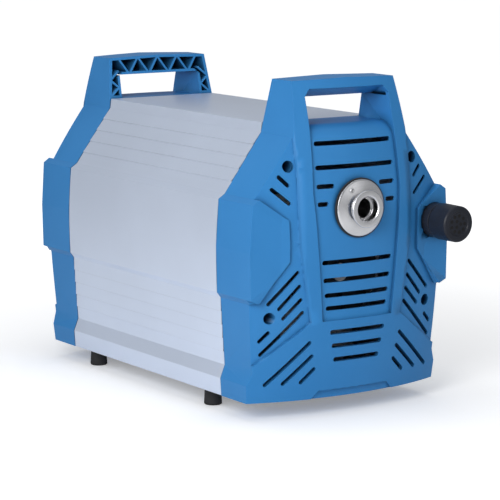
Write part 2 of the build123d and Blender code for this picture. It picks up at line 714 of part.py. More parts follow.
for end, facing in ends.items():
    inner_y = casing_mid + facing * motor_length / 2
    outer_y = inner_y + facing * case_length
    head_at = inner_y + facing * head_y
    low_y = min(inner_y, outer_y)
    crank_z = shaft_z - facing * eccentricity

    # cast crankcase: a box on two pedestals, open at the sides for the heads
    with BuildPart() as crankcase:
        with BuildSketch(face_plane(low_y)):
            with Locations((0, shaft_z)):
                RectangleRounded(2 * case_half, 2 * case_half_z, 8)
        extrude(amount=-case_length)
        with BuildSketch(Plane.YZ.offset(-case_half)):
            for side in (-1, 1):
                with Locations((head_at + side * rod_offset, shaft_z)):
                    Circle(head_r)
        extrude(amount=2 * case_half)
        with BuildSketch(face_plane(inner_y)):
            with Locations((0, shaft_z)):
                Circle(housing_r)
        extrude(amount=-facing * shield_t)
        with BuildSketch(Plane.XY.offset(base_top)):
            with Locations((0, (inner_y + outer_y) / 2)):
                with GridLocations(2 * pedestal_x, 0, 2, 1):
                    Rectangle(pedestal_w, pedestal_length)
        extrude(amount=shaft_z - case_half_z + 10 - base_top)
        with BuildSketch(Plane.YZ.offset(-case_half)):
            for side in (-1, 1):
                with Locations((head_at + side * rod_offset, shaft_z)):
                    Circle(bowl_r)
        extrude(amount=2 * case_half, mode=Mode.SUBTRACT)
        with BuildSketch(face_plane(inner_y)):
            with Locations((0, shaft_z)):
                Circle(bearing_r + fit_gap)
        extrude(amount=-facing * head_y, mode=Mode.SUBTRACT)
        with BuildSketch(face_plane(head_at)):
            with Locations((0, shaft_z)):
                Circle(shaft_r + 5)
        extrude(amount=-facing * (head_r + rod_offset + 1), mode=Mode.SUBTRACT)
    save(crankcase.part, f"{end}_crankcase")
    bearing_y = min(inner_y, inner_y + facing * bearing_w)
    save(disc(bearing_y, bearing_r, bearing_w, shaft_r + run_gap), f"{end}_bearing")

    # eccentric with its counterweight, and the fan on the shaft's end
    with BuildPart() as eccentric:
        with BuildSketch(face_plane(head_at - eccentric_w / 2)):
            with Locations((0, crank_z)):
                Circle(eccentric_r)
        extrude(amount=-eccentric_w)
        with BuildSketch(face_plane(head_at + facing * (eccentric_w / 2 + weight_t / 2) - weight_t / 2)):
            with Locations((0, shaft_z)):
                Circle(weight_r)
            with Locations((0, shaft_z - facing * weight_r)):
                Rectangle(3 * weight_r, 2 * weight_r, mode=Mode.SUBTRACT)
            with Locations((0, shaft_z)):
                Circle(shaft_r + 4)
        extrude(amount=-weight_t)
        with BuildSketch(face_plane(low_y)):
            with Locations((0, shaft_z)):
                Circle(shaft_r + fit_gap)
        extrude(amount=-case_length, mode=Mode.SUBTRACT)
    save(eccentric.part, f"{end}_eccentric")
    fan_inner = head_at + facing * (head_r + rod_offset + fan_gap)
    fan_y = min(fan_inner, fan_inner + facing * fan_w)
    with BuildPart() as fan:
        with BuildSketch(face_plane(fan_y)):
            with Locations((0, shaft_z)):
                Circle(fan_hub_r)
                Circle(shaft_r + fit_gap, mode=Mode.SUBTRACT)
        extrude(amount=-fan_w)
        with BuildSketch(face_plane(fan_y + fan_w / 2 - 1)):
            with Locations((0, shaft_z)):
                Circle(fan_r)
                Circle(fan_hub_r - 1, mode=Mode.SUBTRACT)
        extrude(amount=-2)
        with BuildSketch(face_plane(fan_y)):
            with Locations((0, shaft_z)):
                with PolarLocations((fan_r + fan_hub_r) / 2 - 1, blade_count, start_angle=5):
                    Rectangle(fan_r - fan_hub_r, 2)
        extrude(amount=-fan_w)
    save(fan.part, f"{end}_fan")

    for side_name, side in (("left", -1), ("right", 1)):
        rod_y = head_at + side * rod_offset
        across = Plane(origin=(0, rod_y, shaft_z), x_dir=(0, 1, 0), z_dir=(side, 0, 0))
        name = f"{end}_{side_name}"
        face_x = case_half
        # connecting rod: big end on the eccentric, stem to the middle of the diaphragm
        with BuildPart() as rod:
            with BuildSketch(face_plane(rod_y - rod_w / 2)):
                with Locations((0, crank_z)):
                    Circle(eccentric_r + rod_ring)
            extrude(amount=-rod_w)
            with BuildSketch(Plane.YZ.offset(0)):
                with Locations((rod_y, shaft_z)):
                    Rectangle(rod_w, 2 * rod_neck_r)
            extrude(amount=side * (face_x - clamp_t))
            with BuildSketch(across.offset(face_x - clamp_t)):
                Circle(clamp_r)
            extrude(amount=clamp_t)
            with BuildSketch(face_plane(rod_y - rod_w / 2)):
                with Locations((0, crank_z)):
                    Circle(eccentric_r + run_gap)
            extrude(amount=-rod_w, mode=Mode.SUBTRACT)
        save(rod.part, f"{name}_rod")
        with BuildPart() as clamp:
            with BuildSketch(across.offset(face_x + diaphragm_t)):
                Circle(clamp_r)
            extrude(amount=clamp_t)
            with BuildSketch(across.offset(face_x)):
                Circle(clamp_pin_r)
            extrude(amount=diaphragm_t)
        save(clamp.part, f"{name}_clamp_disc")
        with BuildPart() as diaphragm:
            with BuildSketch(across.offset(face_x)):
                Circle(head_r)
                Circle(clamp_pin_r + seat_gap, mode=Mode.SUBTRACT)
            extrude(amount=diaphragm_t)
        save(diaphragm.part, f"{name}_diaphragm")
        with BuildPart() as head:
            with BuildSketch(across.offset(face_x + diaphragm_t)):
                Circle(head_r)
                Circle(bowl_r, mode=Mode.SUBTRACT)
            extrude(amount=head_t)
            with BuildSketch(across.offset(face_x + diaphragm_t + head_t - head_floor)):
                Circle(bowl_r)
                with GridLocations(2 * valve_x, 0, 2, 1):
                    Circle(valve_r, mode=Mode.SUBTRACT)
            extrude(amount=head_floor)
        save(head.part, f"{name}_head")
        top_x = face_x + diaphragm_t + head_t
        with BuildPart() as head_cover:
            with BuildSketch(across.offset(top_x)):
                Circle(head_r)
            extrude(amount=head_cover_t)
            with BuildSketch(across.offset(top_x)):
                with GridLocations(2 * valve_x, 0, 2, 1):
                    Circle(valve_r + 4)
            extrude(amount=head_cover_t - 5, mode=Mode.SUBTRACT)
            with BuildSketch(across.offset(top_x + head_cover_t)):
                for row in range(-2, 3):
                    with Locations((0, row * 14)):
                        Rectangle(2 * sqrt(head_r**2 - (row * 14) ** 2) - 8, 6)
            extrude(amount=-3, mode=Mode.SUBTRACT)
            with BuildSketch(across.offset(top_x + head_cover_t - 3)):
                with GridLocations(2 * valve_x, 0, 2, 1):
                    Circle(pipe_r + 3)
            extrude(amount=3 + pad_h)
        save(head_cover.part, f"{name}_head_cover")
        with BuildPart() as valves:
            with BuildSketch(across.offset(top_x)):
                with GridLocations(2 * valve_x, 0, 2, 1):
                    Circle(valve_r + 3)
            extrude(amount=1.5)
        save(valves.part, f"{name}_valves")

# pipes: inlet manifold over the heads, outlet pipe to the silencer
with BuildPart() as inlet_port:
    with BuildSketch(Plane.YZ):
        with BuildLine():
            face_y = apex(-1) + seal_seat - seal_t
            front_y = face_y - port_reach
            rim_y = face_y - disc_t
            bore_z = inlet_z + port_bore_r
            hub_z = inlet_z + port_hub_r
            Polyline(
                (face_y + port_inner, bore_z), (front_y, bore_z), (front_y, inlet_z + flange_r),
                (front_y + flange_t, inlet_z + flange_r), (front_y + flange_t + port_throat, hub_z),
                (rim_y - port_rim, hub_z + port_cone), (rim_y, inlet_z + disc_r - port_edge),
                (rim_y + 1, inlet_z + disc_r), (face_y, inlet_z + disc_r),
                (face_y, hub_z), (face_y + port_inner, hub_z), close=True,
            )
        make_face()
    revolve(axis=Axis((0, 0, inlet_z), (0, 1, 0)))
save(inlet_port.part, "inlet_port")
save(disc(apex(-1) + seal_seat - seal_t, seal_r, seal_t, port_hub_r + seat_gap, 0, inlet_z), "inlet_seal")

silencer_front = silencer_seat - silencer_length
with BuildPart() as silencer_body:
    with BuildSketch(face_plane(silencer_front + silencer_length - silencer_neck)):
        with Locations((silencer_x, silencer_z)):
            Circle(silencer_r)
            Circle(pipe_bore_r, mode=Mode.SUBTRACT)
    extrude(amount=-silencer_neck)
    with BuildSketch(face_plane(silencer_seat)):
        with Locations((silencer_x, silencer_z)):
            Circle(pipe_r)
            Circle(pipe_bore_r, mode=Mode.SUBTRACT)
    extrude(amount=-silencer_stem)
save(silencer_body.part, "silencer_body")
with BuildPart() as silencer_cap:
    with BuildSketch(face_plane(silencer_front)):
        with Locations((silencer_x, silencer_z)):
            Circle(silencer_cap_r)
    extrude(amount=-(silencer_length - silencer_neck))
    with BuildSketch(face_plane(silencer_front)):
        with Locations((silencer_x, silencer_z)):
            with PolarLocations(silencer_ring_r, 9):
                Circle(silencer_hole)
            with PolarLocations(silencer_ring_r / 2.6, 3):
                Circle(silencer_hole)
    extrude(amount=-10, mode=Mode.SUBTRACT)
save(silencer_cap.part, "silencer_cap")


def pipes(routes, name, radius=pipe_r, wall=pipe_wall):
    """Pipes of round section along straight runs with tangent bends, joined into one piece."""
    with BuildPart() as tubes:
        for size, mode in ((radius, Mode.ADD), (radius - wall, Mode.SUBTRACT)):
            for points in routes:
                with BuildLine() as route:
                    if len(points) > 2:
                        FilletPolyline(*points, radius=bend_r)
                    else:
                        Line(*points)
                with BuildSketch(Plane(origin=route.line @ 0, z_dir=route.line % 0)) as ring:
                    Circle(size)
                sweep(ring.sketch, path=route.line, mode=mode)
    save(tubes.part, name)


port_y = apex(-1) + seal_seat - seal_t + port_inner
pad_x = case_half + diaphragm_t + head_t + head_cover_t + pad_h
feeds = {
    (end, side): head_ys[order] + side * rod_offset + facing * valve_x
    for order, (end, facing) in enumerate(ends.items()) for side in (-1, 1)
}
drains = {
    (end, side): head_ys[order] + side * rod_offset - facing * valve_x
    for order, (end, facing) in enumerate(ends.items()) for side in (-1, 1)
}
manifold_end = max(feeds.values()) + port_bore_r
branch_x = port_bore_r + pipe_wall
pipes([[(0, port_y, inlet_z), (0, manifold_end, inlet_z)]], "inlet_manifold", branch_x, manifold_wall)
pipes([
    [(side * branch_x, y, inlet_z), (side * link_x, y, inlet_z), (side * link_x, y, shaft_z),
     (side * pad_x, y, shaft_z)]
    for (end, side), y in feeds.items()
], "inlet_branches")
link_routes = [
    [(side * pad_x, drains["front", side], shaft_z), (side * link_x, drains["front", side], shaft_z),
     (side * link_x, drains["rear", side], shaft_z), (side * pad_x, drains["rear", side], shaft_z)]
    for side in (-1, 1)
]
cross_at = casing_mid + cross_y
cross_top = shaft_z - pipe_r - fit_gap
link_routes.append([
    (-link_x, cross_at, cross_top), (-link_x, cross_at, cross_z), (link_x, cross_at, cross_z),
    (link_x, cross_at, cross_top),
])
pipes(link_routes, "link_pipes")
stem_y = silencer_seat + silencer_stem
tee_y = drains["front", 1] + tee_ahead
pipes([
    [(silencer_x, stem_y, silencer_z), (silencer_x, tee_y, silencer_z),
     (link_x, tee_y, silencer_z - tee_drop), (link_x, tee_y, shaft_z + pipe_r + fit_gap)],
], "outlet_pipe")

# ---------------------------------------------------------------- electrics
with BuildPart() as capacitor:
    with BuildSketch(face_plane(capacitor_back - capacitor_length)):
        with Locations((capacitor_x, base_top + capacitor_r)):
            Circle(capacitor_r)
    extrude(amount=-capacitor_length)
save(capacitor.part, "capacitor")
with BuildPart() as terminal_box:
    with BuildSketch(Plane.YZ.offset(-housing_r - fin_h)):
        with Locations((casing_mid, shaft_z)):
            RectangleRounded(terminal_w, terminal_h, 5)
    extrude(amount=-terminal_t)
save(terminal_box.part, "terminal_box")

with BuildPart() as mains_socket:
    with BuildSketch(face_plane(entry_seat)):
        with Locations((0, entry_z)):
            RectangleRounded(entry_w, entry_h, 4)
    extrude(amount=-entry_t)
    with BuildSketch(face_plane(entry_seat)):
        with Locations((0, entry_z)):
            Rectangle(entry_body_w, entry_body_h)
    extrude(amount=entry_depth)
    with BuildSketch(face_plane(entry_seat + entry_t)):
        with Locations((0, entry_z - entry_h / 5)):
            RectangleRounded(socket_w, socket_h, 4)
        with Locations((0, rocker_z)):
            Rectangle(rocker_w + 1, rocker_h + 1)
    extrude(amount=socket_depth, mode=Mode.SUBTRACT)
    with BuildSketch(face_plane(entry_seat + entry_t - socket_depth)):
        with Locations((0, entry_z - entry_h / 5 + 2)):
            with Locations((-7, -2), (0, 2), (7, -2)):
                Rectangle(2, 6)
    extrude(amount=-(socket_depth - 4))
save(mains_socket.part, "mains_socket")
with BuildPart() as rocker:
    with BuildSketch(Plane.YZ.offset(-rocker_w / 2)):
        with BuildLine():
            face = entry_seat + entry_t
            Polyline(
                (face - 6, rocker_z), (face - 2, rocker_z - rocker_h / 2 + 0.6),
                (face + 1.2, rocker_z - rocker_h / 2 + 0.6), (face - 0.2, rocker_z),
                (face + 1.2, rocker_z + rocker_h / 2 - 0.6), (face - 2, rocker_z + rocker_h / 2 - 0.6),
                close=True,
            )
        make_face()
    extrude(amount=rocker_w)
save(rocker.part, "switch_rocker")
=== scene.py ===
"""Diaphragm vacuum pump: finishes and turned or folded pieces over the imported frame."""
import json
import math

import bmesh
import bpy
import numpy as np
from bpy.props import FloatProperty, FloatVectorProperty, IntProperty, PointerProperty
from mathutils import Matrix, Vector


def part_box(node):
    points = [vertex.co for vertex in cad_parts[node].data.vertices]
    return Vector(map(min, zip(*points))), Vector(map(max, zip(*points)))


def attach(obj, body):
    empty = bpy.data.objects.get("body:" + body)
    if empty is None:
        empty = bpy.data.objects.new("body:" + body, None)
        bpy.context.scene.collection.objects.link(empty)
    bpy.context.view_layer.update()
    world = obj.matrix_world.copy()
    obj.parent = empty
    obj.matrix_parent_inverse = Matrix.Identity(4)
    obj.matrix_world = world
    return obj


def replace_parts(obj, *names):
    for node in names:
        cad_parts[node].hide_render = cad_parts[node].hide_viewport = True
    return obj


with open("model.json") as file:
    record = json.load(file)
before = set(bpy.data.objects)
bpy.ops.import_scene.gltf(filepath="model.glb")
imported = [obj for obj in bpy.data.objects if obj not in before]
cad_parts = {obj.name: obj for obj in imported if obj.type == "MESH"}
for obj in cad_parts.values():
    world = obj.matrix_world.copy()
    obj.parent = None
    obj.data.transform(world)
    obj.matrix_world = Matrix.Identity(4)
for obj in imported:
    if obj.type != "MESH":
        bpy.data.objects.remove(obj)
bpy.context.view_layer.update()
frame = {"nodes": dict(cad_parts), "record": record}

bl_info = {
    "name": "Diaphragm Pump",
    "version": (1, 0, 0),
    "blender": (4, 5, 0),
    "location": "View3D > Sidebar > Pump",
    "description": "Hood, inlet, silencer, feet and finishes of a diaphragm vacuum pump",
    "category": "Object",
}

HOOD_LOW, HOOD_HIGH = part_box("hood")
PORT_LOW, PORT_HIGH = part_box("inlet_port")
SEAL_LOW, SEAL_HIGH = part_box("inlet_seal")
CAP_LOW, CAP_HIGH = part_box("silencer_cap")
BODY_LOW, BODY_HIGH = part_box("silencer_body")
FEET_LOW, FEET_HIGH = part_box("rubber_feet")

# hood section: half width and distance below the crown, or above the floor
CROWN_EDGE = 0.0717
NECK, SHOULDER, STEP_TOP = (0.0730, 0.0108), (0.1191, 0.0736), (0.1270, 0.0786)
STEP_LOW, STEP_IN, WAIST = (0.1292, 0.1136), (0.1245, 0.1076), (0.1195, 0.0337)
FLARE, BOTTOM_EDGE, LIP_EDGE = (0.1252, 0.0196), 0.1238, 0.0905
SIDE_BOW = 0.0020            # how far the flat side stands out in its middle
SIDE_STEPS, ROW_COUNT = 9, 9

# turned pieces
TURNED_EDGE = 0.0006         # rounding of a turned edge
PORT_STEP, PORT_STEP_DEPTH = 0.002, 0.011   # ledge in the inlet's bore, and where it lies
HUB_WALL = 0.0025
FLANGE_THICK, FLANGE_NECK, DISH_START = 0.0022, 0.0046, 0.0088   # all from the flange's face
DISC_THICK, DISC_BEVEL = 0.0012, 0.0016     # rim of the dished disc
SCREW_ANGLE, SCREW_REACH, SCREW_RISE = 125, 0.0238, 0.0046
SCREW_RADIUS, SOCKET_RADIUS, SCREW_SINK = 0.0025, 0.0012, 0.001
NECK_LENGTH, STEM_LENGTH, STEM_RADIUS, STEM_BORE = 0.016, 0.023, 0.008, 0.005
FACE_SINK, VENT_LIFT = 0.0012, 0.0001       # sunk middle of the cap's face, and the vents on it
FACE_RADIUS, FACE_RIM = 0.0125, 0.0135      # sunk middle, and where the raised rim begins
CAP_BEVEL, RIM_DROP = 0.0016, 0.001         # bevelled edge, and the drop in at the joint
VENT_RINGS = [(9, 0.0090), (3, 0.0035)]     # how many vents, and the radius they lie on
FOOT_RADIUS, FOOT_TAPER = 0.010, 0.0008     # flared sole, and how much slimmer the top is
FOOT_HOLE, FOOT_RECESS, RECESS_TOP = 0.0032, 0.0050, 0.009

# angles, in degrees, past which an edge stays sharp
HOOD_SHARP, COVER_SHARP = 14, 14

# lamps: name, place and side in metres, power in watts
LAMPS = [
    ("key", (-1.10, -0.90, 0.75), 0.7, 13.0),
    ("fill", (0.6, -2.2, 1.2), 1.4, 3.0),
    ("top", (0.0, 0.1, 2.2), 1.6, 12.0),
]

# painted light: the floor glows for the camera only, weakest near the pump so its shadow stays dark,
# and the glow rises outwards between two distances; the world is paler where it is seen
GLOW_REACH, GLOW_RANGE = (0.2, 1.1), (0.26, 0.72)
WORLD_LIGHT, WORLD_SEEN = 0.34, 1.0

# camera, aims and floor, in metres; lens and sensor in millimetres
CAMERA_PLACE, CAMERA_AIM = (-1.4292, -2.1730, 0.5645), (-0.0005, -0.0161, 0.1506)
CAMERA_LENS, SENSOR_WIDTH = 164.96, 36.0
LAMP_AIM = (0, 0, 0.18)
FLOOR_REACH = 9.0


def colour(default, name, description):
    """Colour property with its default."""
    return FloatVectorProperty(
        name=name, description=description, subtype="COLOR", size=3, min=0, max=1, default=default
    )


def length(default, name, description):
    """Length property in metres."""
    return FloatProperty(name=name, description=description, subtype="DISTANCE", default=default)


class PumpSizes(bpy.types.PropertyGroup):
    """Sizes of the pieces made here."""

    front_gap: length(0.0003, "Front gap", "Open line between the hood and the front cover")
    rear_gap: length(0.0014, "Rear gap", "Open line between the hood and the rear cover")
    hood_wall: length(0.0022, "Hood wall", "Thickness of the folded hood")
    board_step: length(0.0008, "Board step", "How far each board of the flanks laps over the next")
    fold_radius: length(0.0016, "Fold radius", "Bend radius of the hood's folds")
    board_count: IntProperty(name="Boards", description="Boards on each flank", default=5, min=1)
    port_bore: length(0.013, "Port bore", "Radius of the inlet's bore")
    flange_radius: length(0.020, "Flange radius", "Radius of the inlet's small flange")
    # the vents are drawn as near-black discs, painted shade, not cut as holes
    vent_radius: length(0.0020, "Vent radius", "Radius of one hole in the silencer's face")
    turn_steps: IntProperty(name="Turn steps", description="Faces round a turned piece", default=128)


class PumpColours(bpy.types.PropertyGroup):
    """Colours of the finishes."""

    blue: colour((0.032, 0.210, 0.510), "Cover blue", "Moulded covers")
    # the light blue also gives the painted highlight on the covers' edges, as a paler copy of it
    blue_light: colour((0.040, 0.228, 0.540), "Light blue", "Paler cloud in the moulded covers")
    silver: colour((0.70, 0.78, 0.93), "Hood silver", "Lacquered aluminium hood")
    steel: colour((0.80, 0.80, 0.82), "Steel", "Turned inlet parts")
    black: colour((0.013, 0.015, 0.022), "Black", "Silencer and switch")
    rubber: colour((0.016, 0.016, 0.018), "Rubber", "Feet and seals")
    casting: colour((0.46, 0.47, 0.49), "Casting", "Pump heads and crankcases")
    copper: colour((0.60, 0.27, 0.12), "Copper", "Windings")
    hose: colour((0.70, 0.71, 0.70), "Hose", "Fluoropolymer hoses")
    floor: colour((0.90, 0.90, 0.90), "Floor", "Pale floor")


# ---------------------------------------------------------------- surfaces


def mesh_object(name, points, faces, angle=35.0):
    """Object from an array of points and quads; doubles are merged and faces point outwards."""
    mesh = bpy.data.meshes.new(name)
    mesh.from_pydata(points.reshape(-1, 3).tolist(), [], faces.reshape(-1, 4).tolist())
    work = bmesh.new()
    work.from_mesh(mesh)
    bmesh.ops.remove_doubles(work, verts=work.verts, dist=1e-6)
    bmesh.ops.recalc_face_normals(work, faces=work.faces)
    work.to_mesh(mesh)
    work.free()
    mesh.shade_smooth()
    mesh.set_sharp_from_angle(angle=math.radians(angle))
    piece = bpy.data.objects.new(name, mesh)
    bpy.context.scene.collection.objects.link(piece)
    return piece


def grid_faces(rows, columns, wrap_rows=False, wrap_columns=False):
    """Quads that join each grid point to its neighbours; a wrapped direction closes on itself."""
    index = np.arange(rows * columns).reshape(rows, columns)
    if wrap_rows:
        index = np.vstack([index, index[:1]])
    if wrap_columns:
        index = np.hstack([index, index[:, :1]])
    return np.stack([index[:-1, :-1], index[1:, :-1], index[1:, 1:], index[:-1, 1:]], axis=-1)


def rounded(corners, radius, steps=5):
    """Open outline whose inner corners are arcs.

    Each arc touches both legs at radius times the tangent of half the turn from the corner, limited
    to 0.45 of the shorter leg, and its points are the quadratic curve through those two touch
    points that bends towards the corner.
    """
    corners = np.asarray(corners, float)
    before, corner, after = corners[:-2], corners[1:-1], corners[2:]
    back, ahead = before - corner, after - corner
    back_len = np.linalg.norm(back, axis=1)
    ahead_len = np.linalg.norm(ahead, axis=1)
    back /= back_len[:, None]
    ahead /= ahead_len[:, None]
    turn = np.pi - np.arccos(np.clip((back * ahead).sum(axis=1), -1, 1))
    reach = np.minimum(radius * np.tan(turn / 2), 0.45 * np.minimum(back_len, ahead_len))[:, None, None]
    t = np.linspace(0, 1, steps)[None, :, None]
    start = corner[:, None] + back[:, None] * reach
    end = corner[:, None] + ahead[:, None] * reach
    arc = start * (1 - t) ** 2 + 2 * corner[:, None] * t * (1 - t) + end * t**2
    return np.vstack([corners[:1], arc.reshape(-1, corners.shape[1]), corners[-1:]])


def turned_piece(name, outline, centre, steps, radius=0.0004, axis="Y"):
    """Turned piece: the closed outline of (distance along the axis, radius) goes once round the axis.

    A point stands at centre plus the distance along the axis, plus radius times the cosine and
    sine of the turn across it.
    """
    outline = np.asarray(outline, float)
    ring = rounded(np.vstack([outline, outline[:1]]), radius)
    turn = np.linspace(0, 2 * np.pi, steps, endpoint=False)
    along = np.repeat(ring[:, :1], steps, axis=1)
    first = ring[:, 1:] * np.cos(turn)
    second = ring[:, 1:] * np.sin(turn)
    order = (first, along, second) if axis == "Y" else (first, second, along)
    points = np.stack(order, axis=-1) + np.asarray(centre)
    return mesh_object(name, points, grid_faces(len(ring), steps, wrap_columns=True))


# ---------------------------------------------------------------- finishes


def group_with(name, inputs, outputs):
    """Empty node group with named inputs (name, kind, default) and outputs (name, kind)."""
    tree = bpy.data.node_groups.new(name, "ShaderNodeTree")
    for label, kind, default in inputs:
        socket = tree.interface.new_socket(name=label, in_out="INPUT", socket_type=kind)
        if default is not None:
            socket.default_value = default
    for label, kind in outputs:
        tree.interface.new_socket(name=label, in_out="OUTPUT", socket_type=kind)
    entry = tree.nodes.new("NodeGroupInput")
    leave = tree.nodes.new("NodeGroupOutput")
    return tree, entry, leave


def grain_group():
    """Surface relief: a fine noise as the height, and a slow noise beside it as a cloud."""
    if "surface_grain" in bpy.data.node_groups:
        return bpy.data.node_groups["surface_grain"]
    tree, entry, leave = group_with(
        "surface_grain",
        [("Fine", "NodeSocketFloat", 900.0), ("Cloud", "NodeSocketFloat", 9.0)],
        [("Height", "NodeSocketFloat"), ("Cloud", "NodeSocketFloat")],
    )
    place = tree.nodes.new("ShaderNodeTexCoord")
    fine = tree.nodes.new("ShaderNodeTexNoise")
    fine.inputs["Detail"].default_value = 3.0
    cloud = tree.nodes.new("ShaderNodeTexNoise")
    cloud.inputs["Detail"].default_value = 4.0
    tree.links.new(place.outputs["Object"], fine.inputs["Vector"])
    tree.links.new(place.outputs["Object"], cloud.inputs["Vector"])
    tree.links.new(entry.outputs["Fine"], fine.inputs["Scale"])
    tree.links.new(entry.outputs["Cloud"], cloud.inputs["Scale"])
    tree.links.new(fine.outputs["Fac"], leave.inputs["Height"])
    tree.links.new(cloud.outputs["Fac"], leave.inputs["Cloud"])
    return tree


def edge_group():
    """Edges and hollows: the normal turned at each edge, an edge mask that finish() paints as a
    highlight, and how open each spot is, which finish() paints as shade in the hollows.
    """
    if "edge_round" in bpy.data.node_groups:
        return bpy.data.node_groups["edge_round"]
    tree, entry, leave = group_with(
        "edge_round",
        [("Radius", "NodeSocketFloat", 0.001)],
        [("Normal", "NodeSocketVector"), ("Edge", "NodeSocketFloat"), ("Open", "NodeSocketFloat")],
    )
    bevel = tree.nodes.new("ShaderNodeBevel")
    bevel.samples = 6
    shape = tree.nodes.new("ShaderNodeNewGeometry")
    dot = tree.nodes.new("ShaderNodeVectorMath")
    dot.operation = "DOT_PRODUCT"
    mask = tree.nodes.new("ShaderNodeMapRange")
    mask.inputs["From Min"].default_value = 1.0
    mask.inputs["From Max"].default_value = 0.82
    tree.links.new(entry.outputs["Radius"], bevel.inputs["Radius"])
    tree.links.new(bevel.outputs["Normal"], dot.inputs[0])
    tree.links.new(shape.outputs["Normal"], dot.inputs[1])
    tree.links.new(dot.outputs["Value"], mask.inputs["Value"])
    tree.links.new(bevel.outputs["Normal"], leave.inputs["Normal"])
    tree.links.new(mask.outputs["Result"], leave.inputs["Edge"])
    hollow = tree.nodes.new("ShaderNodeAmbientOcclusion")
    hollow.samples = 8
    hollow.inputs["Distance"].default_value = 0.016
    depth = tree.nodes.new("ShaderNodeMapRange")
    depth.inputs["From Min"].default_value = 0.10
    depth.inputs["From Max"].default_value = 0.85
    tree.links.new(hollow.outputs["AO"], depth.inputs["Value"])
    tree.links.new(depth.outputs["Result"], leave.inputs["Open"])
    return tree


def finish(name, base, other, metallic, rough, fine, cloud, bump, edge, edge_highlight=1.25, gloss=0.5):
    """Finish of one material: clouded colour, paler edges as a painted highlight, hollows darkened as
    painted shade, and fine relief.
    """
    if name in bpy.data.materials:
        return bpy.data.materials[name]
    material = bpy.data.materials.new(name)
    material.use_nodes = True
    nodes, links = material.node_tree.nodes, material.node_tree.links
    shader = nodes["Principled BSDF"]
    shader.inputs["Metallic"].default_value = metallic
    shader.inputs["Specular IOR Level"].default_value = gloss
    grain = nodes.new("ShaderNodeGroup")
    grain.node_tree = grain_group()
    grain.inputs["Fine"].default_value = fine
    grain.inputs["Cloud"].default_value = cloud
    rounding = nodes.new("ShaderNodeGroup")
    rounding.node_tree = edge_group()
    rounding.inputs["Radius"].default_value = edge
    tint = nodes.new("ShaderNodeMix")
    tint.data_type = "RGBA"
    tint.inputs["A"].default_value = (*base, 1)
    tint.inputs["B"].default_value = (*other, 1)
    contrast = nodes.new("ShaderNodeMapRange")
    contrast.inputs["From Min"].default_value = 0.35
    contrast.inputs["From Max"].default_value = 0.65
    # painted highlight: every edge is mixed towards a paler copy of the other colour, as if it caught
    # the light
    painted_edge_highlight = nodes.new("ShaderNodeMix")
    painted_edge_highlight.data_type = "RGBA"
    painted_edge_highlight.inputs["B"].default_value = (*[min(1.0, channel * edge_highlight) for channel in other], 1)
    amount = nodes.new("ShaderNodeMath")
    amount.operation = "MULTIPLY"
    amount.inputs[1].default_value = 0.6
    shine = nodes.new("ShaderNodeMapRange")
    shine.inputs["To Min"].default_value = rough - 0.05
    shine.inputs["To Max"].default_value = rough + 0.07
    relief = nodes.new("ShaderNodeBump")
    relief.inputs["Strength"].default_value = bump
    relief.inputs["Distance"].default_value = 0.0003
    links.new(grain.outputs["Cloud"], contrast.inputs["Value"])
    links.new(contrast.outputs["Result"], tint.inputs["Factor"])
    links.new(tint.outputs["Result"], painted_edge_highlight.inputs["A"])
    links.new(rounding.outputs["Edge"], amount.inputs[0])
    links.new(amount.outputs["Value"], painted_edge_highlight.inputs["Factor"])
    # painted shade: spots that the ambient occlusion finds closed in are darkened towards 0.12 of the
    # base colour
    painted_shade = nodes.new("ShaderNodeMix")
    painted_shade.data_type = "RGBA"
    painted_shade.inputs["A"].default_value = (*[channel * 0.12 for channel in base], 1)
    links.new(rounding.outputs["Open"], painted_shade.inputs["Factor"])
    links.new(painted_edge_highlight.outputs["Result"], painted_shade.inputs["B"])
    links.new(painted_shade.outputs["Result"], shader.inputs["Base Color"])
    links.new(grain.outputs["Cloud"], shine.inputs["Value"])
    links.new(shine.outputs["Result"], shader.inputs["Roughness"])
    links.new(grain.outputs["Height"], relief.inputs["Height"])
    links.new(rounding.outputs["Normal"], relief.inputs["Normal"])
    links.new(relief.outputs["Normal"], shader.inputs["Normal"])
    return material


def shade(value, factor):
    """Colour made darker or paler by one factor."""
    return tuple(min(1.0, channel * factor) for channel in value)


def blue_plastic(colours):
    """Moulded blue plastic: satin, faintly clouded, with a fine spark-eroded grain."""
    return finish(
        "moulded_blue", colours.blue, colours.blue_light,
        metallic=0.0, rough=0.40, fine=1400, cloud=7, bump=0.08, edge=0.0007,
        edge_highlight=1.12, gloss=0.18,
    )


def hood_lacquer(colours):
    """Silver lacquer on aluminium: fine metallic grain under a satin coat."""
    return finish(
        "hood_lacquer", colours.silver, shade(colours.silver, 1.06),
        metallic=0.55, rough=0.36, fine=2400, cloud=5, bump=0.06, edge=0.0004,
    )


def turned_steel(colours):
    """Turned stainless steel: bright, with the light drawn out across the fine turning marks."""
    material = finish(
        "turned_steel", colours.steel, shade(colours.steel, 0.9),
        metallic=1.0, rough=0.24, fine=3000, cloud=40, bump=0.03, edge=0.0003,
    )
    nodes, links = material.node_tree.nodes, material.node_tree.links
    shader = nodes["Principled BSDF"]
    shader.inputs["Anisotropic"].default_value = 0.8
    tangent = nodes.new("ShaderNodeTangent")
    tangent.direction_type = "RADIAL"
    tangent.axis = "Y"
    links.new(tangent.outputs["Tangent"], shader.inputs["Tangent"])
    return material


def black_plastic(colours):
    """Black moulded plastic with a satin sheen."""
    return finish(
        "moulded_black", colours.black, shade(colours.black, 1.6),
        metallic=0.0, rough=0.38, fine=1500, cloud=20, bump=0.10, edge=0.0006,
        edge_highlight=2.0, gloss=0.25,
    )


def rubber(colours):
    """Matt black rubber."""
    return finish(
        "soft_rubber", colours.rubber, shade(colours.rubber, 1.8),
        metallic=0.0, rough=0.75, fine=1100, cloud=30, bump=0.25, edge=0.0006, edge_highlight=1.6,
    )


